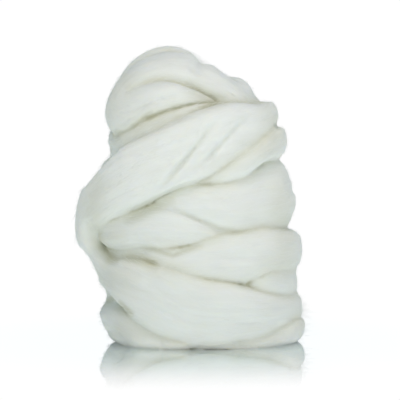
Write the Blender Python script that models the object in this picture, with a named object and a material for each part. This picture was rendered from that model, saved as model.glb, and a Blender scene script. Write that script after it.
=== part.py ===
"""A ball of wool roving, wound up from one thick, soft strand of combed wool and standing on end.

Frame: metres, +Z up, +X to the right of the front, -Y towards the front. The origin lies at the
middle of the ball's outline from above, on the surface that it stands on.

The ball is one solid: the turns of the strand that show, laid as flattened tubes over a core of
earlier turns, felted into one skin and pressed flat where the ball stands.
"""

import math

import bmesh
import bpy
import numpy as np
from mathutils import Matrix

MM = 0.001  # the tables below are in millimetres

# The strand
STEP = 3.0  # spacing of the rings along the strand
RING_POINTS = 40  # points round one ring of the strand
ROUNDNESS = 0.74  # 1 is an ellipse; less fills out the corners of the strand's section
ROUNDER = {"middle": 0.95, "great_bend": 0.62}  # turns with a section of their own
END_RINGS = 3  # rings that round off a strand's buried end
END_TIP = 0.6  # how far into the first of those rings the strand starts

# The skin
VOXEL = 1.9  # grain at which the turns are felted together
SMOOTHING = 2  # passes that take the grain back out
KEEP_SHARE = 0.15  # share of the felted skin's faces that the solid keeps

# The slab under the ball that presses its foot flat
SLAB_SIDE = 400
SLAB_DEPTH = 50

# The core: earlier turns of the roving, packed tight. One row for each level.
# z, centre x, half width x, half depth y
CORE = (
    (-4, 6, 48, 38),
    (8, 6, 50, 41),
    (30, 5, 49, 43),
    (55, 3, 51, 44),
    (85, 1, 51, 43),
    (110, 0, 44, 39),
    (130, 0, 39, 34),
    (148, -3, 32, 26),
    (160, -7, 21, 18),
    (168, -10, 9, 9),
)
CORE_POINTS = 48

# The strands lie flat on the ball: their outer faces look away from this upright spine.
SPINE_LOW = 34
SPINE_HIGH = 128

# The turns that show, each with one row for each station along the strand's middle line.
# x, y, z, half width across the strand, half thickness
TURNS = {
    "great_bend": (
        (-44, -18, 93, 9, 7),
        (-48, 4, 96, 10.5, 9),
        (-38, 27, 104, 12.5, 10),
        (-14, 39, 113, 14, 10),
        (16, 36, 122, 14, 10),
        (37, 19, 132.5, 11.5, 10),
        (43, -6, 136.5, 8.5, 10),
        (35, -27, 129, 15.5, 11),
        (21, -38, 125.5, 19, 12),
        (4, -44, 118.5, 19.5, 12),
        (-14.5, -45, 110.5, 17.5, 13),
        (-34.5, -40, 99.5, 18, 13),
        (-48.5, -29, 88, 15.5, 13),
        (-58, -18, 77, 12.5, 10.5),
        (-61.3, -17, 65, 8.3, 7),
        (-56.5, -20, 54, 5.5, 6),
        (-46.5, -28, 42.5, 9.5, 8.5),
        (-36, -35.5, 39, 14.5, 12),
        (-19.5, -42, 32.5, 20.5, 12),
        (0, -44, 24, 21.5, 12),
        (20, -43, 21.5, 19, 12),
        (38, -36, 20.5, 14, 12),
        (50, -24, 20.5, 10, 10.5),
        (58, -6, 21, 9.5, 9.5),
        (54, 16, 20, 8, 8),
    ),
    "top_bend": (
        (-34, 2, 143, 9, 7),
        (-32, 19, 145, 12.5, 9),
        (-12, 27, 147, 14, 9),
        (11, 24, 147, 14, 9),
        (30, 10, 146, 15, 10),
        (30.5, -8, 144, 14.5, 10.5),
        (11, -15.5, 154, 16, 11),
        (-7, -16.5, 161.5, 16.5, 11),
        (-23, -15.5, 159, 15.5, 11),
        (-35, -14, 150, 13, 10.5),
        (-39, -15, 142, 12.5, 11),
        (-36, -22, 137.5, 15, 11),
        (-27, -29, 140, 15.5, 11),
        (-14, -34, 145, 11.5, 11),
        (-2, -33, 145, 7.5, 10),
        (8, -29, 143, 4.5, 7),
        (16, -24, 141, 3.5, 5),
    ),
    "crown": (
        (-28, 18, 139, 9, 7),
        (-36, 15, 151, 12.5, 8),
        (-28, 10, 162.5, 14.5, 9.5),
        (-11, 7, 168.5, 14, 10),
        (1, 8, 162, 12.5, 9),
        (12, 9, 150, 12, 9),
        (24, 13, 144, 12.5, 8),
        (26, 15, 136, 9, 7),
    ),
    "shoulder": (
        (30, 20, 138, 11.5, 8),
        (8, 36, 133, 12.5, 9),
        (-20, 34, 127, 11.5, 10),
        (-38, 16, 120, 12.5, 10),
        (-40, -8, 118, 12, 10),
        (-32, -27, 119, 11, 11),
        (-20, -36, 126, 12.5, 11),
        (-5, -38, 131, 11.5, 11),
        (10, -36, 135, 9, 9),
        (26, -26, 138, 6, 7),
    ),
    "right_upper": (
        (-44, -16, 80, 9, 7),
        (-50, 6, 81, 10.5, 9),
        (-40, 29, 87, 12.5, 10),
        (-16, 43, 94, 14, 10),
        (14, 43, 103, 14, 10),
        (37, 31, 112, 12.5, 10),
        (47, 10, 121.5, 11, 10),
        (46, -14, 121.5, 11, 11),
        (39, -30, 117, 8, 10.5),
        (26, -39, 107, 7, 10),
        (10, -42, 99, 5.5, 8),
        (-6, -40, 94, 4.5, 6),
    ),
    "middle": (
        (24, -34, 68, 4.5, 7),
        (13, -41, 68.5, 6.5, 10),
        (0, -44, 70, 11, 12),
        (-15, -43, 71, 15.5, 12),
        (-29, -39, 71, 12, 11),
        (-43, -29, 68, 10, 10),
        (-46, -13, 67, 6, 7),
        (-54, 10, 62, 12.5, 9),
        (-44, 32, 65, 15, 10),
        (-20, 44, 71, 16, 11),
        (12, 46, 78, 17, 11),
        (38, 35, 84, 19.5, 11),
        (45.5, 13, 87.5, 23, 16),
        (45.5, -14, 87.5, 23, 16),
        (35, -28, 85.5, 21, 14),
        (21, -40, 83, 19.5, 12),
        (5, -43, 85, 14, 12),
        (-11, -42, 84, 8, 10),
        (-22, -38, 84, 4.5, 7),
    ),
    "waist": (
        (-42, -18, 41, 9, 7),
        (-50, 2, 42, 11.5, 8),
        (-44, 26, 43, 12.5, 10),
        (-22, 43, 46, 15, 11),
        (8, 47, 50, 16, 11),
        (36, 37, 54, 16, 11),
        (53, 20, 55, 13, 11),
        (57, -2, 55.5, 12, 11),
        (52, -20, 55.5, 13, 12),
        (37, -35, 54.5, 16, 12),
        (18, -42, 53, 16, 12),
        (0, -43, 52, 12.5, 12),
        (-16, -42, 53, 9, 10),
        (-30, -33, 56, 7, 8),
        (-40, -23, 56, 7, 7),
        (-47, -10, 57, 8, 6),
    ),
    "right_low": (
        (-38, -18, 25, 9, 7),
        (-44, 2, 25, 10.5, 8),
        (-39, 25, 26, 11.5, 10),
        (-20, 41, 27, 12.5, 10),
        (8, 46, 30, 12.5, 10),
        (36, 37, 34, 14, 10),
        (51, 18, 35, 11.5, 10),
        (55, -4, 35.5, 11, 10),
        (49, -24, 40, 11.5, 10),
        (38, -35, 42, 10.5, 9),
        (29, -36, 39, 6, 6),
        (14, -36, 40, 4.5, 5),
    ),
    "foot": (
        (46, -4, 18, 7, 6),
        (53, 14, 17, 9, 8),
        (54, 22, 16, 12.5, 10),
        (34, 38, 12, 14, 10),
        (4, 44, 9, 12.5, 10),
        (-26, 36, 10, 11.5, 10),
        (-42, 14, 12, 11.5, 9),
        (-43, -12, 13, 14, 10),
        (-35, -27, 12, 14, 12),
        (-24, -36, 4, 10, 11),
        (-10, -42, 0, 8, 10),
        (4, -43, -1, 6, 8),
    ),
    "foot_right": (
        (28, 34, 4, 9, 8),
        (48, 22, 6, 10.5, 8),
        (58, 3, 7, 11, 8.5),
        (56, -15, 7, 11, 9),
        (44, -31, 3, 8, 10),
        (26, -40.5, 0, 7, 10),
        (6, -42.5, -2, 6.5, 9),
        (-10, -41, -3, 6, 7),
    ),
}

# Furrows pressed into a turn's outer face, where the strand was folded or its fibres bunched.
# turn, first station, across there, last station, across there, depth, half breadth.
# Across runs from -1 to 1 over the strand's half width.
FURROWS = (
    ("great_bend", 8.3, 0.62, 10.6, -1.05, 2.8, 1.5),
    ("great_bend", 7.4, 0.50, 9.4, -0.70, 2.0, 1.5),
    ("great_bend", 16.9, 0.20, 19.1, -0.55, 0.6, 2.0),
    ("great_bend", 17.6, 0.40, 19.9, -0.10, 0.7, 2.0),
    ("great_bend", 18.1, 0.68, 19.6, 0.42, 0.5, 2.0),
    ("great_bend", 19.9, 0.10, 21.8, 0.35, 0.8, 2.0),
    ("top_bend", 11.2, 0.10, 13.4, 0.25, 1.2, 2.2),
    ("middle", 2.0, -0.60, 3.8, -0.20, 1.2, 1.8),
    ("middle", 13.9, -0.45, 15.2, -0.35, 0.8, 1.8),
    ("waist", 8.4, -0.05, 10.2, 0.05, 1.0, 2.0),
    ("foot", 6.6, 0.25, 8.4, -0.10, 1.2, 2.2),
)

WOOL_COLOUR = (0.80, 0.80, 0.74, 1.0)
WOOL_ROUGHNESS = 0.95


def clear_scene():
    for old in list(bpy.data.objects):
        bpy.data.objects.remove(old)


def smooth_stations(stations, step):
    """Stations every step along one smooth curve through the given ones, and their row numbers."""
    given = np.array(stations, float)
    spans = np.linalg.norm(np.diff(given[:, :3], axis=0), axis=1)
    along = np.concatenate([[0.0], np.cumsum(spans)])
    slopes = np.gradient(given, along, axis=0)
    count = max(3, round(along[-1] / step) + 1)
    at = np.linspace(0.0, along[-1], count)
    index = np.clip(np.searchsorted(along, at, side="right") - 1, 0, len(spans) - 1)
    span = spans[index][:, None]
    t = ((at - along[index]) / spans[index])[:, None]
    fine = (
        given[index] * (1 + 2 * t) * (1 - t) ** 2
        + slopes[index] * span * t * (1 - t) ** 2
        + given[index + 1] * t**2 * (3 - 2 * t)
        + slopes[index + 1] * span * t**2 * (t - 1)
    )
    return fine, index + t[:, 0]


def unit(vectors):
    return vectors / np.linalg.norm(vectors, axis=1)[:, None]


def outward(points):
    """Unit vectors that point from the ball's spine through each point."""
    away = np.array(points)
    away[:, 2] -= np.clip(points[:, 2], SPINE_LOW, SPINE_HIGH)
    return unit(away)


def furrow_depth(name, number, across, wide):
    """How far the strand's outer face is pressed in, at a station number and a place across."""
    depth = np.zeros((len(number), across.size))
    for turn, first, across_first, last, across_last, deep, breadth in FURROWS:
        if turn != name:
            continue
        share = (number - first) / (last - first)
        line = across_first + (across_last - across_first) * share
        fade = np.sqrt(np.clip(4 * share * (1 - share), 0, 1))
        depth += deep * fade * np.exp(-(((across - line) * wide / breadth) ** 2))
    return depth


def strand_rings(name, step, ring_points):
    """Rings of points round the strand, flat side to the ball."""
    fine, number = smooth_stations(TURNS[name], step)
    middle, wide, thick = fine[:, :3], fine[:, 3], fine[:, 4]
    forward = unit(np.gradient(middle, axis=0))
    out = outward(middle)
    out = unit(out - (out * forward).sum(axis=1)[:, None] * forward)
    across = np.cross(forward, out)
    turn = np.linspace(0, 2 * math.pi, ring_points, endpoint=False)
    power = ROUNDER.get(name, ROUNDNESS)
    side = np.sign(np.cos(turn)) * np.abs(np.cos(turn)) ** power
    face = np.sign(np.sin(turn)) * np.abs(np.sin(turn)) ** power
    shrink = end_shrink(len(fine))
    wide, thick = (wide * shrink)[:, None], (thick * shrink)[:, None]
    pressed = furrow_depth(name, number[:, None], side, wide) * np.clip(face, 0, 1)
    return (
        middle[:, None, :]
        + across[:, None, :] * (wide * side)[:, :, None]
        + out[:, None, :] * (thick * face - pressed)[:, :, None]
    )


def end_shrink(count):
    """How much of its section each ring keeps, so that a strand's two ends are round."""
    from_end = np.minimum(np.arange(count), np.arange(count)[::-1])
    share = np.clip((from_end + END_TIP) / (END_RINGS + END_TIP), 0, 1)
    return np.sqrt(1 - (1 - share) ** 2)


def tube_mesh(name, rings):
    """A closed mesh through rings of points in millimetres."""
    count, size = rings.shape[:2]
    mesh = bpy.data.meshes.new(name)
    shape = bmesh.new()
    verts = [[shape.verts.new(point * MM) for point in ring] for ring in rings]
    for low, high in zip(verts, verts[1:]):
        for i in range(size):
            j = (i + 1) % size
            shape.faces.new((low[i], low[j], high[j], high[i]))
    shape.faces.new(verts[0][::-1])
    shape.faces.new(verts[-1])
    bmesh.ops.recalc_face_normals(shape, faces=shape.faces)
    shape.to_mesh(mesh)
    shape.free()
    return mesh


def core_rings():
    turn = np.linspace(0, 2 * math.pi, CORE_POINTS, endpoint=False)
    rings = [
        np.column_stack(
            [x + wide * np.cos(turn), deep * np.sin(turn), np.full(CORE_POINTS, z)]
        )
        for z, x, wide, deep in CORE
    ]
    return np.array(rings)


def join_meshes(name, meshes):
    joined = bpy.data.meshes.new(name)
    shape = bmesh.new()
    for mesh in meshes:
        shape.from_mesh(mesh)
    shape.to_mesh(joined)
    shape.free()
    return joined


def wool():
    material = bpy.data.materials.new("wool")
    material.use_nodes = True
    shader = material.node_tree.nodes["Principled BSDF"]
    shader.inputs["Base Color"].default_value = WOOL_COLOUR
    shader.inputs["Roughness"].default_value = WOOL_ROUGHNESS
    shader.inputs["Metallic"].default_value = 0.0
    return material


def add_object(name, mesh):
    thing = bpy.data.objects.new(name, mesh)
    bpy.context.scene.collection.objects.link(thing)
    return thing


def foot_cutter():
    """A slab whose top is the surface that the ball stands on."""
    mesh = bpy.data.meshes.new("foot_cutter")
    shape = bmesh.new()
    size = Matrix.Diagonal((SLAB_SIDE * MM, SLAB_SIDE * MM, SLAB_DEPTH * MM, 1))
    down = Matrix.Translation((0, 0, -SLAB_DEPTH * MM / 2))
    bmesh.ops.create_cube(shape, size=1, matrix=down @ size)
    shape.to_mesh(mesh)
    shape.free()
    cutter = add_object("foot_cutter", mesh)
    cutter.hide_render = True
    cutter.display_type = "WIRE"
    return cutter


def felt_together(body):
    """One skin over all the turns, with its grain smoothed out and its faces thinned."""
    felt = body.modifiers.new("felt", "REMESH")
    felt.mode = "VOXEL"
    felt.voxel_size = VOXEL * MM
    felt.use_smooth_shade = True
    even = body.modifiers.new("even", "SMOOTH")
    even.iterations = SMOOTHING
    thin = body.modifiers.new("thin", "DECIMATE")
    thin.ratio = KEEP_SHARE


def press_foot_flat(body):
    flat = body.modifiers.new("flat_foot", "BOOLEAN")
    flat.operation = "DIFFERENCE"
    flat.object = foot_cutter()


def wound_roving():
    meshes = [tube_mesh("core", core_rings())]
    for name in TURNS:
        meshes.append(tube_mesh(name, strand_rings(name, STEP, RING_POINTS)))
    body = add_object("wound_roving", join_meshes("wound_roving", meshes))
    felt_together(body)
    press_foot_flat(body)
    body.data.materials.append(wool())


def main():
    clear_scene()
    wound_roving()


main()
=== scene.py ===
"""A ball of wool roving, wound up from one thick, soft strand of combed wool and standing on end.

Frame: metres, +Z up, +X to the right of the front, -Y towards the front. The turns of the strand
that show are laid as flattened tubes over a core of earlier turns and felted into one skin. That
skin is drawn smooth, tucked in where turns meet, pressed along folds and raised by bundles of
fibres, and loose fibres stand off it. Shade in its grooves, folds and hollows is painted into
the wool's colour.
"""

import math

import bmesh
import bpy
import numpy as np
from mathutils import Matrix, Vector
from mathutils.bvhtree import BVHTree


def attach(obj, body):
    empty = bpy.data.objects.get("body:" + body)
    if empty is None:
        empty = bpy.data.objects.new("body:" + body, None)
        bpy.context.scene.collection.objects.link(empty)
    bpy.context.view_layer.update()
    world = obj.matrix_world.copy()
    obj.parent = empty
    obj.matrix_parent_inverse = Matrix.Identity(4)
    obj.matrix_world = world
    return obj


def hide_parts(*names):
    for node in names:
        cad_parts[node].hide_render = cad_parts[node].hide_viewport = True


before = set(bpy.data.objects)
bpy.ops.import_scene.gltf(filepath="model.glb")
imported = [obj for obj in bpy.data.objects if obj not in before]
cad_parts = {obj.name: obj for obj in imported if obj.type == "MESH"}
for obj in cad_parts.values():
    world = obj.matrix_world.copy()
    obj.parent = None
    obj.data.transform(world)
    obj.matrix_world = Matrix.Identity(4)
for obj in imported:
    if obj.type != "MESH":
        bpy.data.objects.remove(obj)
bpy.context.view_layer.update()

MM = 0.001  # the tables below are in millimetres
TINY = 1e-9  # keeps a length that is divided by above zero
NODE = "wound_roving"
BODY = "root"

# The camera: as far off as a portrait lens needs, a little above the ball's middle
CAMERA_TARGET = (5.795, 0.0, 85.5)
CAMERA_ELEVATION = 2.5  # degrees above level
CAMERA_DISTANCE = 1150
PICTURE_SPAN = 244  # what the picture takes in from side to side at the ball's middle
SENSOR = 36

# The strand
STEP = 1.3  # spacing of the rings along the strand
OUTER_POINTS = 72  # points round the outer half of a ring
INNER_POINTS = 22  # points round the half that lies on the ball
ROUNDNESS = 0.74  # 1 is an ellipse; less fills out the corners of the strand's section
ROUNDER = {"middle": 0.95, "great_bend": 0.62}
END_LENGTH = 9.0  # how much of a strand's buried end is rounded off
END_TIP = 0.2  # how far into that length the strand starts

# The core: earlier turns of the roving, packed tight. One row for each level.
# z, centre x, half width x, half depth y
CORE = (
    (0.2, 6, 48, 38),
    (8, 6, 50, 41),
    (30, 5, 49, 43),
    (55, 3, 51, 44),
    (85, 1, 51, 43),
    (110, 0, 44, 39),
    (130, 0, 39, 34),
    (148, -3, 32, 26),
    (160, -7, 21, 18),
    (168, -10, 9, 9),
)
CORE_POINTS = 48

# The strands lie flat on the ball: their outer faces look away from this upright spine.
SPINE_LOW = 34
SPINE_HIGH = 128

# The turns that show, each with one row for each station along the strand's middle line.
# x, y, z, half width across the strand, half thickness
TURNS = {
    "great_bend": (
        (-44, -18, 93, 9, 7),
        (-48, 4, 96, 10.5, 9),
        (-38, 27, 104, 12.5, 10),
        (-14, 39, 113, 14, 10),
        (16, 36, 122, 14, 10),
        (37, 19, 132.5, 11.5, 10),
        (43, -6, 136.5, 8.5, 10),
        (35, -27, 129, 15.5, 11),
        (21, -38, 125.5, 19, 12),
        (4, -44, 118.5, 19.5, 12),
        (-14.5, -45, 110.5, 17.5, 13),
        (-34.5, -40, 99.5, 18, 13),
        (-48.5, -29, 88, 15.5, 13),
        (-58, -18, 77, 12.5, 10.5),
        (-61.3, -17, 65, 8.3, 7),
        (-56.5, -20, 54, 5.5, 6),
        (-46.5, -28, 42.5, 9.5, 8.5),
        (-36, -35.5, 39, 14.5, 12),
        (-19.5, -42, 32.5, 20.5, 12),
        (0, -44, 24, 21.5, 12),
        (20, -43, 21.5, 19, 12),
        (38, -36, 20.5, 14, 12),
        (50, -24, 20.5, 10, 10.5),
        (58, -6, 21, 9.5, 9.5),
        (54, 16, 20, 8, 8),
    ),
    "top_bend": (
        (-34, 2, 143, 9, 7),
        (-32, 19, 145, 12.5, 9),
        (-12, 27, 147, 14, 9),
        (11, 24, 147, 14, 9),
        (30, 10, 146, 15, 10),
        (30.5, -8, 144, 14.5, 10.5),
        (11, -15.5, 154, 16, 11),
        (-7, -16.5, 161.5, 16.5, 11),
        (-23, -15.5, 159, 15.5, 11),
        (-35, -14, 150, 13, 10.5),
        (-39, -15, 142, 12.5, 11),
        (-36, -22, 137.5, 15, 11),
        (-27, -29, 140, 15.5, 11),
        (-14, -34, 145, 11.5, 11),
        (-2, -33, 145, 7.5, 10),
        (8, -29, 143, 4.5, 7),
        (16, -24, 141, 3.5, 5),
    ),
    "crown": (
        (-28, 18, 139, 9, 7),
        (-36, 15, 151, 12.5, 8),
        (-28, 10, 162.5, 14.5, 9.5),
        (-11, 7, 168.5, 14, 10),
        (1, 8, 162, 12.5, 9),
        (12, 9, 150, 12, 9),
        (24, 13, 144, 12.5, 8),
        (26, 15, 136, 9, 7),
    ),
    "shoulder": (
        (30, 20, 138, 11.5, 8),
        (8, 36, 133, 12.5, 9),
        (-20, 34, 127, 11.5, 10),
        (-38, 16, 120, 12.5, 10),
        (-40, -8, 118, 12, 10),
        (-32, -27, 119, 11, 11),
        (-20, -36, 126, 12.5, 11),
        (-5, -38, 131, 11.5, 11),
        (10, -36, 135, 9, 9),
        (26, -26, 138, 6, 7),
    ),
    "right_upper": (
        (-44, -16, 80, 9, 7),
        (-50, 6, 81, 10.5, 9),
        (-40, 29, 87, 12.5, 10),
        (-16, 43, 94, 14, 10),
        (14, 43, 103, 14, 10),
        (37, 31, 112, 12.5, 10),
        (47, 10, 121.5, 11, 10),
        (46, -14, 121.5, 11, 11),
        (39, -30, 117, 8, 10.5),
        (26, -39, 107, 7, 10),
        (10, -42, 99, 5.5, 8),
        (-6, -40, 94, 4.5, 6),
    ),
    "middle": (
        (24, -34, 68, 4.5, 7),
        (13, -41, 68.5, 6.5, 10),
        (0, -44, 70, 11, 12),
        (-15, -43, 71, 15.5, 12),
        (-29, -39, 71, 12, 11),
        (-43, -29, 68, 10, 10),
        (-46, -13, 67, 6, 7),
        (-54, 10, 62, 12.5, 9),
        (-44, 32, 65, 15, 10),
        (-20, 44, 71, 16, 11),
        (12, 46, 78, 17, 11),
        (38, 35, 84, 19.5, 11),
        (45.5, 13, 87.5, 23, 16),
        (45.5, -14, 87.5, 23, 16),
        (35, -28, 85.5, 21, 14),
        (21, -40, 83, 19.5, 12),
        (5, -43, 85, 14, 12),
        (-11, -42, 84, 8, 10),
        (-22, -38, 84, 4.5, 7),
    ),
    "waist": (
        (-42, -18, 41, 9, 7),
        (-50, 2, 42, 11.5, 8),
        (-44, 26, 43, 12.5, 10),
        (-22, 43, 46, 15, 11),
        (8, 47, 50, 16, 11),
        (36, 37, 54, 16, 11),
        (53, 20, 55, 13, 11),
        (57, -2, 55.5, 12, 11),
        (52, -20, 55.5, 13, 12),
        (37, -35, 54.5, 16, 12),
        (18, -42, 53, 16, 12),
        (0, -43, 52, 12.5, 12),
        (-16, -42, 53, 9, 10),
        (-30, -33, 56, 7, 8),
        (-40, -23, 56, 7, 7),
        (-47, -10, 57, 8, 6),
    ),
    "right_low": (
        (-38, -18, 25, 9, 7),
        (-44, 2, 25, 10.5, 8),
        (-39, 25, 26, 11.5, 10),
        (-20, 41, 27, 12.5, 10),
        (8, 46, 30, 12.5, 10),
        (36, 37, 34, 14, 10),
        (51, 18, 35, 11.5, 10),
        (55, -4, 35.5, 11, 10),
        (49, -24, 40, 11.5, 10),
        (38, -35, 42, 10.5, 9),
        (29, -36, 39, 6, 6),
        (14, -36, 40, 4.5, 5),
    ),
    "foot": (
        (46, -4, 18, 7, 6),
        (53, 14, 17, 9, 8),
        (54, 22, 16, 12.5, 10),
        (34, 38, 12, 14, 10),
        (4, 44, 9, 12.5, 10),
        (-26, 36, 10, 11.5, 10),
        (-42, 14, 12, 11.5, 9),
        (-43, -12, 13, 14, 10),
        (-35, -27, 12, 14, 12),
        (-24, -36, 4, 10, 11),
        (-10, -42, 0, 8, 10),
        (4, -43, -1, 6, 8),
    ),
    "foot_right": (
        (28, 34, 4, 9, 8),
        (48, 22, 6, 10.5, 8),
        (58, 3, 7, 11, 8.5),
        (56, -15, 7, 11, 9),
        (44, -31, 3, 8, 10),
        (26, -40.5, 0, 7, 10),
        (6, -42.5, -2, 6.5, 9),
        (-10, -41, -3, 6, 7),
    ),
}

# Furrows pressed into a turn's outer face, where the strand was folded or its fibres bunched.
# turn, first station, across there, last station, across there, depth, half breadth.
# Across runs from -1 to 1 over the strand's half width.
FURROWS = (
    ("great_bend", 8.3, 0.62, 10.6, -1.05, 2.8, 1.5),
    ("great_bend", 7.4, 0.50, 9.4, -0.70, 2.0, 1.5),
    ("great_bend", 16.9, 0.20, 19.1, -0.55, 0.6, 2.0),
    ("great_bend", 17.6, 0.40, 19.9, -0.10, 0.7, 2.0),
    ("great_bend", 18.1, 0.68, 19.6, 0.42, 0.5, 2.0),
    ("great_bend", 19.9, 0.10, 21.8, 0.35, 0.8, 2.0),
    ("top_bend", 11.2, 0.10, 13.4, 0.25, 1.2, 2.2),
    ("middle", 2.0, -0.60, 3.8, -0.20, 1.2, 1.8),
    ("middle", 13.9, -0.45, 15.2, -0.35, 0.8, 1.8),
    ("waist", 8.4, -0.05, 10.2, 0.05, 1.0, 2.0),
    ("foot", 6.6, 0.25, 8.4, -0.10, 1.2, 2.2),
)

# Turns that come round and lie on themselves: the stations that end the first lay and start
# the second
FOLDED = {"top_bend": (9.0, 11.3)}

# Relief on a strand's outer face. height, spacing across the strand, spacing along it
SWELLS = (0.45, 11.0, 17.0)

# The skin round all the turns, and the grooves in it where one turn lies against another
FELT = 1.12  # spacing of the skin's points
SEARCH = 9.0  # skin further than this from every other turn counts as open
SMOOTHINGS = 20
SMOOTH_STEP = 0.5  # how far one smoothing takes a point towards its neighbours' middle, at most
OPEN_SHARE = 0.16  # how much of the smoothing open skin gets, against a groove's
SOFT_REACH = 3.6  # how far from a groove the wool is drawn smooth
TIGHT_HOLD = 0.8  # the share of that smoothing that a tight groove is spared
CREASE_REACH = 4.0  # painted shade darkens and warms the wool this near to a groove,
CREASE_UNDER = 0.45  # less so on the turn that hangs over it than on the one below,
CREASE_TURN = 0.3  # added to how far the skin faces up, which tells the two turns apart,
CREASE_LEAST = 0.2  # and never less than this share of the full shade
TIGHT_REACH = 1.5  # and darkest, where the groove is tight
TUCK_REACH = 1.1  # how wide a tight groove is
FOOT_LEVEL = 0.7  # skin lower than this lies flat on the floor
FOOT_TUCK = 2.2  # how far in the ball's rim lies at the floor
FOOT_TUCK_HEIGHT = 5.0  # and the height at which it has come out again
FOOT_MIDDLE = 25.0  # nearer to the ball's axis than this the floor side moves less
CAVITY_ROUNDS = 60  # smoothings that even out all the turns; what they fill in is a hollow
CAVITY_FULL = 4.0  # skin this far down in a hollow gets the full painted shade

LOOSE_LESS_SHADE = 0.6  # how much less painted shade than other grooves the places in LOOSE take
# Places on the front where the skin is drawn smoother and takes less painted shade. x, z, reach,
# share
LOOSE = (
    (-54, 52, 11, 0.95),
    (-58, 66, 10, 0.95),
    (-43, 118.5, 6, 0.8),
    (-33, 122.5, 7, 0.9),
    (-22, 126.5, 7, 0.95),
    (-12, 131.5, 7, 0.95),
    (-3, 137, 6, 0.9),
    (4, 140.5, 5, 0.8),
    (-20, 174, 8, 0.9),
    (-6, 176, 8, 0.9),
    (5, 171, 6, 0.7),
    (-40, 150, 8, 0.9),
    (-32, 153, 6, 0.7),
    (-51, 61, 3.5, 0.9),
    (-37, 132, 4.5, 0.8),
)

# Bundles of fibres along a strand. height, spacing across the strand, spacing along it
BUNDLES = ((0.4, 7.0, 45.0), (0.28, 2.6, 34.0))
BUNDLE_SEED = 7

FOLD_ROUND = 16.0  # how far back the folds reach round the sides
FOLD_FADE = 20.0  # and over what depth they fade there
# Lines along which the front is pressed in, or out where the depth is below zero, and given painted
# shade.
# depth, half breadth, painted shade, then the line's places as x, z
FOLDS = (
    # thin folds in the great bend, and lower down where turns run into one another
    (0.6, 1.3, 0.35, ((-17, 93), (-9, 104), (-3, 111), (3, 118), (13, 131))),
    (0.8, 1.3, 0.3, ((8, 109), (16, 118), (22, 124), (30, 132))),
    (0.9, 1.6, 0.5, ((-12, 84), (3, 77), (17, 71), (29, 69), (42, 70))),
    (0.7, 1.6, 0.7, ((-30, 60), (-22, 59.5), (-15, 57), (-10, 55.5), (-4, 58), (8, 62))),
    (0.6, 1.8, 1.0, ((-43, 28), (-38, 23.5), (-33, 19.5))),
    # the hollow between the top bend's two lays, and the hook in which the crease below it ends
    (0.3, 4.0, 0.5, ((-4, 156), (5, 151), (12, 147), (22, 146))),
    (1.0, 1.4, 0.6, ((-22, 140), (-26, 137.5), (-30, 133.5), (-34, 130), (-39, 127.5), (-48, 127))),
    # the groove over the great bend, which is nearly filled
    (-0.8, 2.6, 0.0, ((-46, 117), (-31, 122.5), (-16, 128.5), (-5, 136.5), (6, 142))),
    # the pocket inside the great bend, with painted shade and its floor raised
    (0.2, 3.6, 1.0, ((-53, 66), (-51.5, 59), (-48, 53.5), (-42, 50.5))),
    (-2.0, 2.4, 1.0, ((-54, 67), (-51, 61), (-47, 55))),
    # the outline: pressed in on the left, the right and at the top, and out at the right foot
    (1.9, 10.0, 0.0, ((-46, 119), (-55, 105), (-65, 94))),
    (2.1, 11.0, 0.0, ((-66, 58), (-61, 46), (-56, 32), (-55, 18))),
    (3.0, 5.0, 0.0, ((65, 109), (61, 99), (64, 89))),
    (-2.5, 6.0, 0.0, ((66, 14), (64, 5), (62, -4))),
    (2.6, 4.0, 0.0, ((0, 163), (8, 170.5), (16, 178))),
    (1.8, 5.0, 0.0, ((18, 170), (28, 160), (38, 152), (44, 144))),
    # the notch between the two lobes at the upper right
    (3.2, 2.8, 0.0, ((74, 139), (63, 135), (51, 130.5))),
    (1.0, 2.4, 0.0, ((62, 134.5), (52, 131), (44, 126), (37, 117))),
    # the wool that sags onto the floor
    (-2.6, 4.5, 0.0, ((-16, 2), (-4, 2), (10, 2), (26, 3))),
    # soft painted shades: beside two deep creases, down the left, down the right and along the
    # floor
    (0.1, 4.0, 0.7, ((-40, 75), (-28, 80.5), (-19, 84), (-8, 88))),
    (0.1, 4.0, 0.7, ((-42, 53), (-34, 53.5), (-27, 52), (-18, 48))),
    (0.0, 9.0, 0.38, ((-42, 172), (-43, 159), (-47, 146), (-47, 134))),
    (0.0, 5.0, 0.45, ((-52, 117), (-38, 124), (-26, 130), (-12, 136), (0, 140))),
    (0.0, 6.5, 0.48, ((-54, 104), (-57, 88), (-57, 74), (-53, 50))),
    (0.0, 6.5, 0.35, ((-64, 64), (-50, 64), (-36, 66))),
    (0.0, 9.0, 0.3, ((-56, 44), (-42, 42), (-28, 40))),
    (0.0, 6.0, 0.28, ((-46, 14), (-36, 9), (-24, 6))),
    (0.0, 7.0, 0.32, ((42, 150), (48, 140), (51, 128))),
    (0.0, 7.0, 0.3, ((66, 128), (56, 124), (46, 118), (34, 112))),
    (0.0, 9.0, 0.42, ((56, 106), (54, 92), (54, 78), (57, 64), (58, 46))),
    (0.0, 3.0, 0.4, ((-46, 1), (-12, 0), (22, 0), (54, 2))),
)
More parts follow.
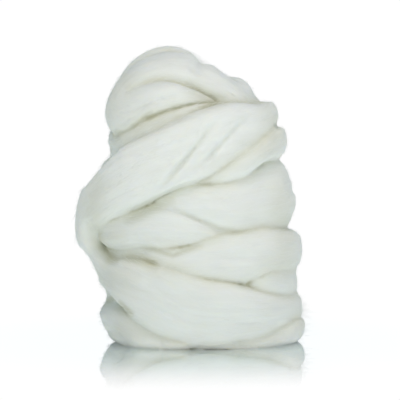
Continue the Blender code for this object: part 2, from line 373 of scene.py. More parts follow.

# Places on the front where a groove is pulled tight and takes the darkest painted shade. x, z,
# reach, added depth of the tuck
TIGHT = (
    (-33, 130.5, 3.5, 0.4),
    (-25, 138, 5, 1.2),
    (-18, 142, 5, 1.5),
    (-8, 145, 6, 1.5),
    (3, 146.5, 6, 1.5),
    (13, 146, 6, 0.9),
    (-44, 127, 4, 0.6),
    (-8, 154.5, 8, 0.2),
    (5, 150, 6, 0.4),
    (-15, 89, 5, 0.9),
    (-22, 85, 5, 1.6),
    (-31, 81, 5, 0.8),
    (-43, 75, 6, 0.6),
    (-6, 95, 6, 0.5),
    (9, 99, 7, 0.5),
    (22, 104, 6, 0.4),
    (41, 112, 3.5, 0.6),
    (-23, 53, 4, 1.2),
    (-8, 57, 5, 0.7),
    (-1, 60, 4, 0.7),
    (12, 40, 8, 0.5),
    (26, 41, 6, 0.6),
    (32, 38, 3.5, 1.6),
    (-36, 24, 4, 1.5),
    (26, 69, 7, 0.3),
    (-50, 58, 7, 0.5),
)


def smooth_stations(stations, step):
    """Stations every step along one smooth curve through the given ones, and their row numbers."""
    given = np.array(stations, float)
    spans = np.linalg.norm(np.diff(given[:, :3], axis=0), axis=1)
    along = np.concatenate([[0.0], np.cumsum(spans)])
    slopes = np.gradient(given, along, axis=0)
    count = max(3, round(along[-1] / step) + 1)
    at = np.linspace(0.0, along[-1], count)
    index = np.clip(np.searchsorted(along, at, side="right") - 1, 0, len(spans) - 1)
    span = spans[index][:, None]
    t = ((at - along[index]) / spans[index])[:, None]
    fine = (
        given[index] * (1 + 2 * t) * (1 - t) ** 2
        + slopes[index] * span * t * (1 - t) ** 2
        + given[index + 1] * t**2 * (3 - 2 * t)
        + slopes[index + 1] * span * t**2 * (t - 1)
    )
    return fine, index + t[:, 0], at


def unit(vectors):
    """The same directions with a length of 1."""
    return vectors / np.linalg.norm(vectors, axis=-1, keepdims=True)


def outward(points):
    """Unit vectors that point from the ball's spine through each point."""
    away = np.array(points)
    away[:, 2] -= np.clip(points[:, 2], SPINE_LOW, SPINE_HIGH)
    return unit(away)


def faded_ends(share):
    """1 in the middle of a line and 0 at its ends, where share is 0 and 1, and past them."""
    return np.sqrt(np.clip(4 * share * (1 - share), 0, 1))


def furrow_depth(name, number, across, wide):
    """How far the strand's outer face is pressed in, at a station number and a place across."""
    depth = np.zeros((len(number), across.size))
    for turn, first, across_first, last, across_last, deep, breadth in FURROWS:
        if turn != name:
            continue
        share = (number - first) / (last - first)
        line = across_first + (across_last - across_first) * share
        cut = np.exp(-(((across - line) * wide / breadth) ** 2))
        depth += deep * faded_ends(share) * cut
    return depth


def end_shrink(along):
    """How much of its section each ring keeps, so that a strand's two ends are round."""
    from_end = np.minimum(along, along[-1] - along)
    share = np.clip((from_end + END_TIP) / END_LENGTH, 0, 1)
    return np.sqrt(1 - (1 - share) ** 2)


def noise(rng, u, v):
    """Smooth noise from -1 to 1 that changes over a distance of 1 in u and in v."""
    u, v = np.broadcast_arrays(u - np.min(u), v - np.min(v))
    grid = rng.uniform(-1, 1, (int(u.max()) + 2, int(v.max()) + 2))
    i, j = u.astype(int), v.astype(int)
    a, b = u - i, v - j
    a, b = a * a * (3 - 2 * a), b * b * (3 - 2 * b)
    near = grid[i, j] * (1 - a) + grid[i + 1, j] * a
    far = grid[i, j + 1] * (1 - a) + grid[i + 1, j + 1] * a
    return near * (1 - b) + far * b


def relief(rng, size, across, along):
    """Smooth swells of a size from one of the tables."""
    height, spacing_across, spacing_along = size
    return height * noise(rng, across / spacing_across, along / spacing_along)


class Strand:
    """One turn of the roving: rings of points with their directions and places on the strand."""

    def __init__(self, name, rng):
        self.name = name
        fine, number, along = smooth_stations(TURNS[name], STEP)
        middle = fine[:, :3]
        forward = unit(np.gradient(middle, axis=0))
        out = outward(middle)
        out = unit(out - (out * forward).sum(axis=1)[:, None] * forward)
        over = np.cross(forward, out)
        turn = np.concatenate(
            [
                np.linspace(0, math.pi, OUTER_POINTS, endpoint=False),
                np.linspace(math.pi, 2 * math.pi, INNER_POINTS, endpoint=False),
            ]
        )
        power = ROUNDER.get(name, ROUNDNESS)
        side = np.sign(np.cos(turn)) * np.abs(np.cos(turn)) ** power
        face = np.sign(np.sin(turn)) * np.abs(np.sin(turn)) ** power
        shrink = end_shrink(along)
        wide, thick = (fine[:, 3] * shrink)[:, None], (fine[:, 4] * shrink)[:, None]
        self.across = wide * side
        self.along = np.broadcast_to(along[:, None], self.across.shape)
        self.number = number
        open_face = np.clip(face, 0, 1)
        lift = -furrow_depth(name, number[:, None], side, wide) * open_face
        lift += relief(rng, SWELLS, self.across, self.along) * shrink[:, None]
        self.points = (
            middle[:, None, :]
            + over[:, None, :] * self.across[:, :, None]
            + out[:, None, :] * (thick * face + lift)[:, :, None]
        )
        self.forward = np.broadcast_to(forward[:, None, :], self.points.shape)

    def skin_across(self):
        """Distance round the skin from the middle of the strand's inner face."""
        closed = np.concatenate([self.points, self.points[:, :1]], axis=1)
        around = np.linalg.norm(np.diff(closed, axis=1), axis=2)
        start = OUTER_POINTS + INNER_POINTS // 2
        around = np.roll(around, -start, axis=1)
        length = np.concatenate(
            [np.zeros((len(around), 1)), np.cumsum(around, axis=1)[:, :-1]], axis=1
        )
        length -= length[:, -1:] / 2
        return np.roll(length, start, axis=1)

    def faces(self):
        """Faces of the strand's sides and of its two ends."""
        count, size = self.points.shape[:2]
        ring, place = np.meshgrid(np.arange(count - 1), np.arange(size), indexing="ij")
        a = (ring * size + place).ravel()
        b = (ring * size + (place + 1) % size).ravel()
        sides = np.column_stack([a, a + size, b + size, b]).tolist()
        last = (count - 1) * size
        return sides + [list(range(size))[::-1], list(range(last, last + size))]


def felted(strands):
    """One closed skin round all the turns and the core."""
    parts = [(s.points.reshape(-1, 3), s.faces()) for s in strands] + [core()]
    shape = bmesh.new()
    for points, faces in parts:
        verts = [shape.verts.new(point) for point in points.tolist()]
        for face in faces:
            shape.faces.new([verts[i] for i in face])
    bmesh.ops.recalc_face_normals(shape, faces=shape.faces)
    mesh = bpy.data.meshes.new("turns")
    shape.to_mesh(mesh)
    shape.free()
    turns = bpy.data.objects.new("turns", mesh)
    bpy.context.scene.collection.objects.link(turns)
    remesh = turns.modifiers.new("felt", "REMESH")
    remesh.mode = "VOXEL"
    remesh.voxel_size = FELT
    ready = turns.evaluated_get(bpy.context.evaluated_depsgraph_get())
    skin = bpy.data.meshes.new_from_object(ready)
    bpy.data.objects.remove(turns)
    bpy.data.meshes.remove(mesh)
    return skin


class Skin:
    """The skin's points, how near each is to a groove, and its place on its own strand.

    pull and loose say where the tables draw its grooves tight or smooth, low where it stands.
    """

    def __init__(self, mesh, strands):
        self.mesh = mesh
        self.points = read(mesh.vertices, "co", 3)
        self.edges = read(mesh.edges, "vertices", 2, np.int32)
        count = len(self.points)
        nearest, self.gap = np.full(count, SEARCH), np.full(count, SEARCH)
        self.across, self.along = np.zeros(count), np.zeros(count)
        self.forward = np.zeros((count, 3))
        self.owner = np.full(count, "", object)
        for strand in strands:
            self.touch(strand, nearest)
        for strand in strands:
            if strand.name in FOLDED:
                self.touch_itself(strand, *FOLDED[strand.name])
        self.pull = spots(TIGHT, self.points).sum(axis=0)
        self.loose = spots(LOOSE, self.points).max(axis=0)
        self.low = self.points[:, 2] < FOOT_LEVEL

    def touch(self, strand, nearest):
        """Finds how far the skin is from one strand, and where it is on the strand."""
        points = strand.points.reshape(-1, 3)
        faces = strand.faces()
        tree = BVHTree.FromPolygons(points.tolist(), faces)
        low, high = points.min(axis=0) - SEARCH, points.max(axis=0) + SEARCH
        near = np.flatnonzero(((self.points > low) & (self.points < high)).all(axis=1))
        across, along = strand.skin_across().ravel(), strand.along.ravel()
        forward = strand.forward.reshape(-1, 3)
        for index in near:
            point = Vector(self.points[index])
            place, normal, face, distance = tree.find_nearest(point, SEARCH)
            if place is None:
                continue
            if (point - place).dot(normal) < 0:
                distance = -distance
            if distance >= nearest[index]:
                self.gap[index] = min(self.gap[index], distance)
                continue
            self.gap[index] = nearest[index]
            nearest[index] = distance
            self.owner[index] = strand.name
            corner = faces[face][0]
            step = np.array(place) - points[corner]
            ahead = step @ forward[corner]
            aside = points[faces[face][-1]] - points[corner]
            self.across[index] = across[corner] + step @ aside / max(np.linalg.norm(aside), TINY)
            self.along[index] = along[corner] + ahead
            self.forward[index] = forward[corner]

    def touch_itself(self, strand, first_end, second_start):
        """The same for the two lays of a strand that comes round onto itself."""
        size = strand.points.shape[1]
        ends = [np.searchsorted(strand.number, n) for n in (first_end, second_start)]
        lays = (strand.points[: ends[0]], strand.points[ends[1] :])
        limits = strand.along[ends, 0]
        own = self.owner == strand.name
        for lay, mine in (
            (lays[1], own & (self.along < limits[0])),
            (lays[0], own & (self.along > limits[1])),
        ):
            faces = [f for f in strand.faces()[:-2] if max(f) < len(lay) * size]
            tree = BVHTree.FromPolygons(lay.reshape(-1, 3).tolist(), faces)
            for index in np.flatnonzero(mine):
                distance = tree.find_nearest(Vector(self.points[index]), SEARCH)[3]
                if distance is not None:
                    self.gap[index] = min(self.gap[index], distance)

    def soften(self):
        """Draws the skin smooth, most of all in the grooves that aren't pulled tight."""
        groove = np.exp(-((self.gap / SOFT_REACH) ** 2))
        groove *= np.clip(1 - TIGHT_HOLD * self.pull, 0, 1)
        share = np.maximum(OPEN_SHARE + (1 - OPEN_SHARE) * groove, self.loose)
        share[self.low] = 0
        self.points = self.smoothed(self.points, SMOOTH_STEP * share, SMOOTHINGS)
        self.points[self.low, 2] = 0
        self.save()

    def press(self):
        """Tucks the tight grooves in, presses the folds and raises the bundles of fibres."""
        # self.fold keeps the folds' painted shade for the material
        pressed, self.fold = folds(self.points)
        rng = np.random.default_rng(BUNDLE_SEED)
        for size in BUNDLES:
            pressed -= relief(rng, size, self.across, self.along)
        pressed[self.low] = 0
        tuck = self.pull * np.exp(-((self.gap / TUCK_REACH) ** 2))
        self.points = self.points - self.normals * (tuck + pressed)[:, None]

    def roll_under(self):
        """Draws the ball's rim in at the floor."""
        near_floor = np.clip(1 - self.points[:, 2] / FOOT_TUCK_HEIGHT, 0, 1)
        from_axis = np.linalg.norm(self.points[:, :2], axis=1)
        inward = FOOT_TUCK * near_floor**2 / np.maximum(from_axis, FOOT_MIDDLE)
        self.points[:, :2] *= 1 - inward[:, None]
        self.points[:, 2] = np.maximum(self.points[:, 2], 0)
        self.save()

    def hollowness(self):
        """How deep each point lies in a hollow, from 0 to 1, for the painted shade there."""
        share = np.full(len(self.points), SMOOTH_STEP)
        even = self.smoothed(self.points, share, CAVITY_ROUNDS)
        under = ((even - self.points) * self.normals).sum(axis=1)
        return np.clip(under / CAVITY_FULL, 0, 1)

    def smoothed(self, points, share, rounds):
        """The points after each has gone some way towards its neighbours' middle, many times."""
        first, second = self.edges.T
        count = len(points)
        neighbours = np.bincount(self.edges.ravel(), minlength=count)
        for _ in range(rounds):
            sums = [
                np.bincount(first, points[second, axis], count)
                + np.bincount(second, points[first, axis], count)
                for axis in range(3)
            ]
            mean = np.column_stack(sums) / neighbours[:, None]
            points = points + (mean - points) * share[:, None]
        return points

    def save(self):
        """Gives the mesh the points, and takes its normals back."""
        self.mesh.vertices.foreach_set("co", self.points.ravel().astype(np.float32))
        self.mesh.update()
        self.normals = read(self.mesh.vertices, "normal", 3)


def read(items, name, width, kind=np.float32):
    """One value of every vertex or edge, as rows."""
    values = np.empty(len(items) * width, kind)
    items.foreach_get(name, values)
    values = values.reshape(-1, width)
    return values.astype(float) if kind == np.float32 else values


def spots(table, points):
    """What each round place of a table gives to each point of the front."""
    given = []
    for x, z, reach, most in table:
        away = (points[:, 0] - x) ** 2 + (points[:, 2] - z) ** 2
        given.append(most * np.exp(-away / reach**2) * (points[:, 1] < 0))
    return np.array(given)


def folds(points):
    """How far thin folds press the front in, and how much painted shade they take."""
    depth, shade = np.zeros(len(points)), np.zeros(len(points))
    front = np.clip((FOLD_ROUND - points[:, 1]) / FOLD_FADE, 0, 1)
    place = points[:, (0, 2)]
    for deep, breadth, dark, line in FOLDS:
        line = np.array(line, float)
        spans = np.linalg.norm(np.diff(line, axis=0), axis=1)
        starts = np.concatenate([[0], np.cumsum(spans)])
        away, along = np.full(len(points), np.inf), np.zeros(len(points))
        for a, b, span, start in zip(line, line[1:], spans, starts):
            share = np.clip((place - a) @ (b - a) / span**2, 0, 1)
            distance = np.linalg.norm(place - a - share[:, None] * (b - a), axis=1)
            nearer = distance < away
            away = np.where(nearer, distance, away)
            along = np.where(nearer, (start + share * span) / starts[-1], along)
        form = faded_ends(along) * front * np.exp(-((away / breadth) ** 2))
        depth += deep * form
        shade = np.maximum(shade, dark * form)
    return depth, shade


def finished(skin):
    """The skin's mesh in metres, with the places that its material reads."""
    mesh = skin.mesh
    mesh.name = "wound_wool"
    mesh.vertices.foreach_set("co", (skin.points * MM).ravel().astype(np.float32))
    # Painted shade for the material: near grooves (crease), in hollows and folds (hollow) and
    # darkest in tight grooves (tight), more on a turn's upward face under an overhang than on the
    # overhang
    upward = skin.normals[:, 2] + CREASE_TURN
    side = np.clip(CREASE_UNDER + (1 - CREASE_UNDER) * upward, CREASE_LEAST, 1)
    side *= 1 - LOOSE_LESS_SHADE * skin.loose
    tight = np.clip(skin.pull, 0, 1) * np.exp(-((skin.gap / TIGHT_REACH) ** 2))
    write_attribute(mesh, "crease", side * np.exp(-np.clip(skin.gap, 0, None) / CREASE_REACH))
    write_attribute(mesh, "tight", tight)
    write_attribute(mesh, "hollow", np.maximum(skin.hollowness() * side, skin.fold))
    write_attribute(mesh, "across", skin.across * MM)
    write_attribute(mesh, "along", skin.along * MM)
    mesh.shade_smooth()
    mesh.update()
    return mesh


def write_attribute(mesh, name, values):
    """Keeps one value for each point, for the material."""
    layer = mesh.attributes.new(name, "FLOAT", "POINT")
    layer.data.foreach_set("value", np.ascontiguousarray(values, dtype=np.float32).ravel())


def core():
    """Points and faces of the core."""
    turn = np.linspace(0, 2 * math.pi, CORE_POINTS, endpoint=False)
    rings = [
        np.column_stack(
            [x + wide * np.cos(turn), deep * np.sin(turn), np.full(CORE_POINTS, z)]
        )
        for z, x, wide, deep in CORE
    ]
    faces = [list(range(CORE_POINTS))[::-1]]
    for ring in range(len(CORE) - 1):
        for i in range(CORE_POINTS):
            j = (i + 1) % CORE_POINTS
            low, high = ring * CORE_POINTS, (ring + 1) * CORE_POINTS
            faces.append([low + i, low + j, high + j, high + i])
    top = (len(CORE) - 1) * CORE_POINTS
    faces.append(list(range(top, top + CORE_POINTS)))
    return np.concatenate(rings), faces


def add_piece(name, mesh, material):
    """Adds a piece of the ball, which stands for the solid and takes its finish from the wool."""
    piece = bpy.data.objects.new(name, mesh)
    bpy.context.scene.collection.objects.link(piece)
    mesh.materials.append(material)
    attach(piece, BODY)
    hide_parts(NODE)


# Loose fibres
FIBRE_SEED = 41
FIBRE_COUNT = 15000
FIBRES_A_PIECE = 5000
FIBRE_POINTS = 6
FIBRE_LENGTH = (3.0, 9.0)
FIBRE_LIFT = 0.6  # typical height of a fibre's arch over the skin
FIBRE_LIFT_MOST = 2.2
FIBRE_ARCH = (0.5, 1.0)  # how much of an arch a fibre is, from its rise alone to all of it
FIBRE_SLANT = 0.28  # typical sideways share of a fibre's run
FIBRE_BEND = 0.12  # typical sideways bend, against a fibre's length
FIBRE_RADIUS = 0.045
FIBRE_TIP = 0.35  # share of that radius at a fibre's far end
FIBRE_SIDES = 3
FIBRE_START = -0.25  # a fibre starts this far under the skin,
FIBRE_SCATTER = 0.3  # about this far to a side,
FIBRE_LOWEST = 1.5  # no lower than this on the ball,
FIBRE_FLOOR = 0.05  # and nowhere comes nearer to the floor than this
ASKEW = (0.31, 0.52, 0.79)  # a direction in which no fibre runs


def fibre_paths(rng, skin, count):
    """Paths of loose fibres that start in the open skin and arch over it along the strand."""
    pick = rng.choice(np.flatnonzero(skin.points[:, 2] > FIBRE_LOWEST), count)
    roots, runs, outs = skin.points[pick], unit(skin.forward[pick] + TINY), skin.normals[pick]
    roots = roots + rng.normal(0, FIBRE_SCATTER, roots.shape)
    heading = rng.choice([-1.0, 1.0], count)[:, None]
    aside = np.cross(runs, outs) * rng.normal(0, FIBRE_SLANT, count)[:, None]
    run = unit(runs * heading + aside)
    length = rng.uniform(*FIBRE_LENGTH, count)
    lift = np.minimum(rng.exponential(FIBRE_LIFT, count), FIBRE_LIFT_MOST)
    arch = rng.uniform(*FIBRE_ARCH, count)
    bend = np.cross(run, outs) * rng.normal(0, FIBRE_BEND, count)[:, None] * length[:, None]
    t = np.linspace(0, 1, FIBRE_POINTS)[None, :, None]
    rise = lift[:, None, None] * np.sin(math.pi * t * arch[:, None, None]) + FIBRE_START
    return (
        roots[:, None, :]
        + run[:, None, :] * (length[:, None, None] * t)
        + bend[:, None, :] * t**2
        + outs[:, None, :] * rise
    )


def fibre_mesh(name, paths):
    """Fine tubes along the paths, thinner at their far ends."""
    count, steps = paths.shape[:2]
    forward = unit(np.gradient(paths, axis=1))
    across = unit(np.cross(forward, ASKEW))
    other = np.cross(forward, across)
    radius = FIBRE_RADIUS * np.linspace(1.0, FIBRE_TIP, steps)[None, :, None, None]
    corner = np.arange(FIBRE_SIDES)
    turn = corner * 2 * math.pi / FIBRE_SIDES
    ring = (
        across[:, :, None, :] * np.cos(turn)[None, None, :, None]
        + other[:, :, None, :] * np.sin(turn)[None, None, :, None]
    )
    points = (paths[:, :, None, :] + ring * radius).reshape(-1, 3)
    points[:, 2] = np.maximum(points[:, 2], FIBRE_FLOOR)
    start = np.arange(count)[:, None] * steps * FIBRE_SIDES
    level = start[:, :, None] + np.arange(steps - 1)[None, :, None] * FIBRE_SIDES
    a = (level + corner).ravel()
    b = (level + (corner + 1) % FIBRE_SIDES).ravel()
    sides = np.column_stack([a, b, b + FIBRE_SIDES, a + FIBRE_SIDES])
    caps = np.concatenate([start + corner[::-1], start + (steps - 1) * FIBRE_SIDES + corner])
    mesh = bpy.data.meshes.new(name)
    mesh.from_pydata((points * MM).tolist(), [], sides.tolist() + caps.tolist())
    mesh.shade_smooth()
    return mesh


# The frayed end of the strand at the foot of the right side. x, y, z, fibres, reach, spread
FRAYED = (
    (64.0, -6.0, 19.0, 130, 8.5, 5.0),
    (63.0, -12.0, 9.0, 120, 8.0, 5.0),
    (62.0, -16.0, 3.0, 70, 6.0, 3.5),
)
FRAYED_AIM = (1.0, -0.2, 0.05)  # the fibres stand off this way,
FRAYED_STRAY = 0.45  # about this far to each side of it,
FRAYED_SHORTEST = 0.45  # have at least this share of their tuft's reach,
FRAYED_CURL = 0.28  # and curl to a side by about this share of their length


def frayed_paths(rng):
    """Paths of the fibres that stand off the strand's end in tufts."""
    tufts = []
    for x, y, z, count, reach, spread in FRAYED:
        root = np.array([x, y, z]) + rng.normal(0, spread / 2, (count, 3))
        aim = unit(np.array(FRAYED_AIM) + rng.normal(0, FRAYED_STRAY, (count, 3)))
        length = reach * rng.uniform(FRAYED_SHORTEST, 1.0, count)
        curl = rng.normal(0, FRAYED_CURL, (count, 3)) * length[:, None]
        t = np.linspace(0, 1, FIBRE_POINTS)[None, :, None]
        paths = (
            root[:, None, :]
            + aim[:, None, :] * (length[:, None, None] * t)
            + curl[:, None, :] * t**2
        )
        tufts.append(paths)
    return np.concatenate(tufts)


class Nodes:
    """Short calls for building the nodes of a material or a world afresh."""

    def __init__(self, owner):
        owner.use_nodes = True
        self.tree = owner.node_tree
        self.tree.nodes.clear()

    def add(self, kind, inputs=(), **settings):
        node = self.tree.nodes.new(kind)
        for key, value in settings.items():
            setattr(node, key, value)
        for key, value in dict(inputs).items():
            self.feed(node.inputs[key], value)
        return node

    def feed(self, socket, value):
        if isinstance(value, bpy.types.NodeSocket):
            self.tree.links.new(value, socket)
        else:
            socket.default_value = value

    def math(self, operation, a, b, clamp=False):
        node = self.add("ShaderNodeMath", {0: a, 1: b}, operation=operation, use_clamp=clamp)
        return node.outputs[0]

    def attribute(self, name):
        return self.add("ShaderNodeAttribute", attribute_name=name).outputs["Fac"]

    def mix(self, share, a, b):
        node = self.add("ShaderNodeMix", data_type="RGBA")
        self.feed(node.inputs["Factor"], share)
        self.feed(node.inputs["A"], a)
        self.feed(node.inputs["B"], b)
        return node.outputs["Result"]

    def length(self, vector):
        return self.add("ShaderNodeVectorMath", {0: vector}, operation="LENGTH").outputs["Value"]

    def change(self, value, first, last, at_first, at_last):
        """at_first while the value is under first, at_last over last, and softly in between."""
        ends = {"From Min": first, "From Max": last, "To Min": at_first, "To Max": at_last}
        node = self.add(
            "ShaderNodeMapRange", {"Value": value, **ends}, interpolation_type="SMOOTHSTEP"
        )
        return node.outputs[0]

    def mix_shaders(self, share, a, b):
        return self.add("ShaderNodeMixShader", {0: share, 1: a, 2: b}).outputs[0]

    def streaks(self, across, along, detail):
        """Noise drawn out along the fibres, with spacings across and along them."""
        place = self.add(
            "ShaderNodeCombineXYZ",
            {
                0: self.math("DIVIDE", self.attribute("across"), across * MM),
                1: self.math("DIVIDE", self.attribute("along"), along * MM),
            },
        )
        texture = self.add(
            "ShaderNodeTexNoise",
            {"Vector": place.outputs[0], "Scale": 1.0, "Detail": detail, "Roughness": 0.6},
        )
        return texture.outputs["Fac"]


# The wool's colours, and how much of each of the darker ones, which are painted shade, its places
# take
IVORY = (0.845, 0.88, 0.85, 1.0)
PALE_STREAK = (0.885, 0.92, 0.90, 1.0)
WARM_STREAK = (0.80, 0.825, 0.78, 1.0)
BRIGHT_FIBRE = (0.98, 0.99, 0.97, 1.0)
CREASE_PAINTED_SHADE = (0.60, 0.595, 0.40, 1.0)
CREASE_SHARE = 0.6
HOLLOW_PAINTED_SHADE = (0.46, 0.455, 0.27, 1.0)
HOLLOW_SHARE = 0.5
TIGHT_PAINTED_SHADE = (0.36, 0.35, 0.19, 1.0)
TIGHT_SHARE = 0.7
FINE_SHARE = 0.5  # how far the fine streaks take the colour to plain ivory
FIBRE_CLEARNESS = 0.55  # the share of its light that a loose fibre lets through

# Streaks of the wool. spacing across the fibres, spacing along them, detail
BROAD_STREAKS = (4.5, 42.0, 2.0)
FINE_STREAKS = (0.7, 16.0, 3.0)
# TIGHT_PATCHES breaks the painted shade in tight grooves into patches
TIGHT_PATCHES = (2.0, 4.0, 2.0)


def wool_material():
    """Ivory with streaks along the fibres, and painted shade, darker and warmer, in grooves, folds
    and hollows.
    """
    material = bpy.data.materials.new("wool_roving")
    n = Nodes(material)
    fine = n.streaks(*FINE_STREAKS)
    colour = n.mix(n.streaks(*BROAD_STREAKS), WARM_STREAK, PALE_STREAK)
    colour = n.mix(n.math("MULTIPLY", fine, FINE_SHARE), colour, IVORY)
    # Painted shade: darker, warmer colour near grooves, in hollows and folds, darkest in tight
    # grooves
    crease = n.math("MULTIPLY", n.attribute("crease"), CREASE_SHARE, clamp=True)
    colour = n.mix(crease, colour, CREASE_PAINTED_SHADE)
    hollow = n.math("MULTIPLY", n.attribute("hollow"), HOLLOW_SHARE, clamp=True)
    colour = n.mix(hollow, colour, HOLLOW_PAINTED_SHADE)
    patchy = n.math("MULTIPLY", n.streaks(*TIGHT_PATCHES), 2 * TIGHT_SHARE)
    tight = n.math("MULTIPLY", n.attribute("tight"), patchy, clamp=True)
    colour = n.mix(tight, colour, TIGHT_PAINTED_SHADE)
    bump = n.add(
        "ShaderNodeBump", {"Strength": 0.8, "Distance": 0.2 * MM, "Height": fine}
    )
    shader = n.add(
        "ShaderNodeBsdfPrincipled",
        {
            "Base Color": colour,
            "Roughness": 0.9,
            "Specular IOR Level": 0.1,
            "Subsurface Weight": 0.45,
            "Subsurface Radius": (1.0, 0.9, 0.7),
            "Subsurface Scale": 2.0 * MM,
            "Sheen Weight": 0.12,
            "Sheen Roughness": 0.5,
            "Normal": bump.outputs[0],
        },
    )
    n.add("ShaderNodeOutputMaterial", {"Surface": shader.outputs[0]})
    return material


def fibre_material():
    """Pale, and partly clear to the light behind."""
    material = bpy.data.materials.new("wool_fibre")
    n = Nodes(material)
    place = n.add("ShaderNodeTexCoord").outputs["Object"]
    tone = n.add("ShaderNodeTexNoise", {"Vector": place, "Scale": 90.0, "Detail": 2.0})
    colour = n.mix(tone.outputs["Fac"], PALE_STREAK, BRIGHT_FIBRE)
    shader = n.add(
        "ShaderNodeBsdfPrincipled",
        {
            "Base Color": colour,
            "Roughness": 0.8,
            "Specular IOR Level": 0.2,
            "Sheen Weight": 0.1,
        },
    )
    glow = n.add("ShaderNodeBsdfTranslucent", {"Color": colour})
    both = n.mix_shaders(FIBRE_CLEARNESS, shader.outputs[0], glow.outputs[0])
    n.add("ShaderNodeOutputMaterial", {"Surface": both})
    return material


# The studio
FLOOR_SIDE = 8000
MIRROR_NEAR = 80.0  # the floor mirrors the ball fully this far from the ball's middle
MIRROR_FAR = 230.0  # and not at all from here on
# The floor's glow lights the wool from below, and the ball's shade in it is painted into that glow,
# not cast
SHADE_HALF = (56.0, 47.0)  # the ball's own shade: an oval on the floor, half its size each way,
SHADE_RIGHT = 6.16  # with its middle this far to the right,
SHADE_END = 1.3  # that fades out over the next part, up to this many times its size
SHADE_LEAST = 0.3  # the share of the floor's light that is left in it
FLOOR_GLOW = 1.16  # the light that the wool gets from the floor
FLOOR_COLOUR = (0.94, 1.0, 0.98, 1.0)
MIRROR_COLOUR = (0.96, 0.99, 1.0, 1.0)
WHITE = (1.0, 1.0, 1.0, 1.0)
WHITE_GLOW = 1.02  # what the camera sees of the floor and the studio

# The studio's soft light from each side. direction, red, green and blue strength
SOFT_LIGHTS = (
    ((0, -1, 0), (0.22, 0.22, 0.19)),
    ((0, 1, 0), (0.30, 0.48, 0.57)),
    ((1, 0, 0), (0.09, 0.09, 0.115)),
    ((-1, 0, 0), (0.10, 0.12, 0.13)),
    ((0, 0, 1), (0.18, 0.18, 0.19)),
)


def floor_material():
    """White, with a polish that mirrors the ball beside it and fades out further off."""
    material = bpy.data.materials.new("white_floor")
    n = Nodes(material)
    place = n.add("ShaderNodeTexCoord").outputs["Object"]
    fade = n.change(n.length(place), MIRROR_NEAR * MM, MIRROR_FAR * MM, 1.0, 0.0)
    mirror = n.add("ShaderNodeBsdfGlossy", {"Color": MIRROR_COLOUR, "Roughness": 0.0})
    white = n.add("ShaderNodeEmission", {"Color": WHITE, "Strength": WHITE_GLOW})
    seen = n.mix_shaders(fade, white.outputs[0], mirror.outputs[0])
    # What the wool gets from the floor: little where it stands, the studio's light further off
    half_x, half_y = SHADE_HALF
    oval = n.add(
        "ShaderNodeMapping",
        {
            "Vector": place,
            "Location": (-SHADE_RIGHT / half_x, 0.0, 0.0),
            "Scale": (1 / (half_x * MM), 1 / (half_y * MM), 1.0),
        },
        vector_type="POINT",
    )
    out = n.length(oval.outputs[0])
    lit = n.change(out, 1.0, SHADE_END, SHADE_LEAST * FLOOR_GLOW, FLOOR_GLOW)
    given = n.add("ShaderNodeEmission", {"Color": FLOOR_COLOUR, "Strength": lit})
    soft = n.add("ShaderNodeLightPath").outputs["Is Diffuse Ray"]
    either = n.mix_shaders(soft, seen, given.outputs[0])
    n.add("ShaderNodeOutputMaterial", {"Surface": either})
    return material


def add_floor():
    """A wide white floor, which throws no shadow of its own."""
    mesh = bpy.data.meshes.new("floor")
    half = FLOOR_SIDE * MM / 2
    corners = [(-half, -half, 0), (half, -half, 0), (half, half, 0), (-half, half, 0)]
    mesh.from_pydata(corners, [], [(0, 1, 2, 3)])
    floor = bpy.data.objects.new("floor", mesh)
    bpy.context.scene.collection.objects.link(floor)
    mesh.materials.append(floor_material())
    floor.visible_shadow = False


def add_surroundings():
    """A white studio with soft light from each side."""
    world = bpy.data.worlds.new("white_studio")
    bpy.context.scene.world = world
    n = Nodes(world)
    towards = n.add("ShaderNodeTexCoord").outputs["Generated"]
    light = (0.0, 0.0, 0.0)
    for side, colour in SOFT_LIGHTS:
        facing = n.add("ShaderNodeVectorMath", {0: towards, 1: side}, operation="DOT_PRODUCT")
        share = n.math("MAXIMUM", facing.outputs["Value"], 0.0)
        part = n.add("ShaderNodeVectorMath", {0: colour, "Scale": share}, operation="SCALE")
        light = n.add(
            "ShaderNodeVectorMath", {0: light, 1: part.outputs[0]}, operation="ADD"
        ).outputs[0]
    studio = n.add("ShaderNodeBackground", {"Color": light, "Strength": 1.0})
    white = n.add("ShaderNodeBackground", {"Color": WHITE, "Strength": WHITE_GLOW})
    path = n.add("ShaderNodeLightPath")
    seen = n.math(
        "MAXIMUM", path.outputs["Is Camera Ray"], path.outputs["Is Singular Ray"]
    )
    both = n.mix_shaders(seen, studio.outputs[0], white.outputs[0])
    n.add("ShaderNodeOutputWorld", {"Surface": both})


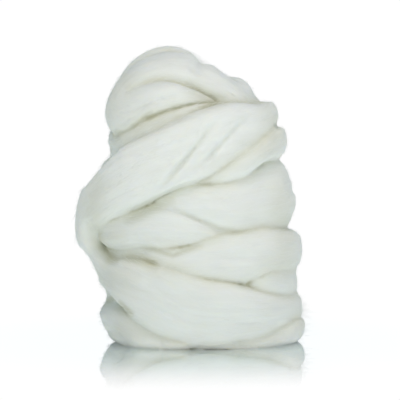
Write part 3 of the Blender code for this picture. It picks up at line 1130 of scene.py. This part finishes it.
def add_area_light(name, place, aim, size, power, colour):
    """A round soft light that faces the place it is aimed at."""
    light = bpy.data.lights.new(name, "AREA")
    light.shape = "DISK"
    light.size = size * MM
    light.energy = power
    light.color = colour
    lamp = bpy.data.objects.new(name, light)
    bpy.context.scene.collection.objects.link(lamp)
    lamp.location = Vector(place) * MM
    lamp.rotation_mode = "QUATERNION"
    lamp.rotation_quaternion = (Vector(aim) - Vector(place)).to_track_quat("-Z", "Y")


# name, place, aim, diameter, watts, colour
LAMPS = (
    ("key_light", (330, -1500, 800), (0, 0, 90), 900, 8.8, (0.94, 0.93, 0.99)),
    ("top_light", (100, -500, 1600), (0, 0, 90), 900, 7.4, (1.0, 0.95, 0.89)),
)


def add_camera():
    """The camera, in front of the ball and turned to its target."""
    camera = bpy.data.cameras.new("camera")
    camera.sensor_width = SENSOR
    camera.lens = SENSOR * CAMERA_DISTANCE / PICTURE_SPAN
    camera.clip_start = 0.05
    camera.clip_end = 50.0
    holder = bpy.data.objects.new("camera", camera)
    bpy.context.scene.collection.objects.link(holder)
    rise = math.radians(CAMERA_ELEVATION)
    back = Vector((0, -math.cos(rise), math.sin(rise)))
    holder.location = (Vector(CAMERA_TARGET) + back * CAMERA_DISTANCE) * MM
    holder.rotation_mode = "QUATERNION"
    holder.rotation_quaternion = (-back).to_track_quat("-Z", "Y")
    bpy.context.scene.camera = holder


def wind_ball():
    """The felted ball with its loose fibres and its frayed end."""
    wool, fibre = wool_material(), fibre_material()
    strands = [
        Strand(name, np.random.default_rng(seed)) for seed, name in enumerate(TURNS)
    ]
    skin = Skin(felted(strands), strands)
    skin.soften()
    skin.press()
    skin.roll_under()
    add_piece("wound_wool", finished(skin), wool)
    rng = np.random.default_rng(FIBRE_SEED)
    paths = fibre_paths(rng, skin, FIBRE_COUNT)
    for number, start in enumerate(range(0, FIBRE_COUNT, FIBRES_A_PIECE)):
        part = paths[start : start + FIBRES_A_PIECE]
        name = f"loose_fibres_{number}"
        add_piece(name, fibre_mesh(name, part), fibre)
    add_piece("frayed_end", fibre_mesh("frayed_end", frayed_paths(rng)), fibre)


add_camera()
wind_ball()
add_floor()
add_surroundings()
for lamp in LAMPS:
    add_area_light(*lamp)
bpy.context.scene.view_settings.view_transform = "Standard"
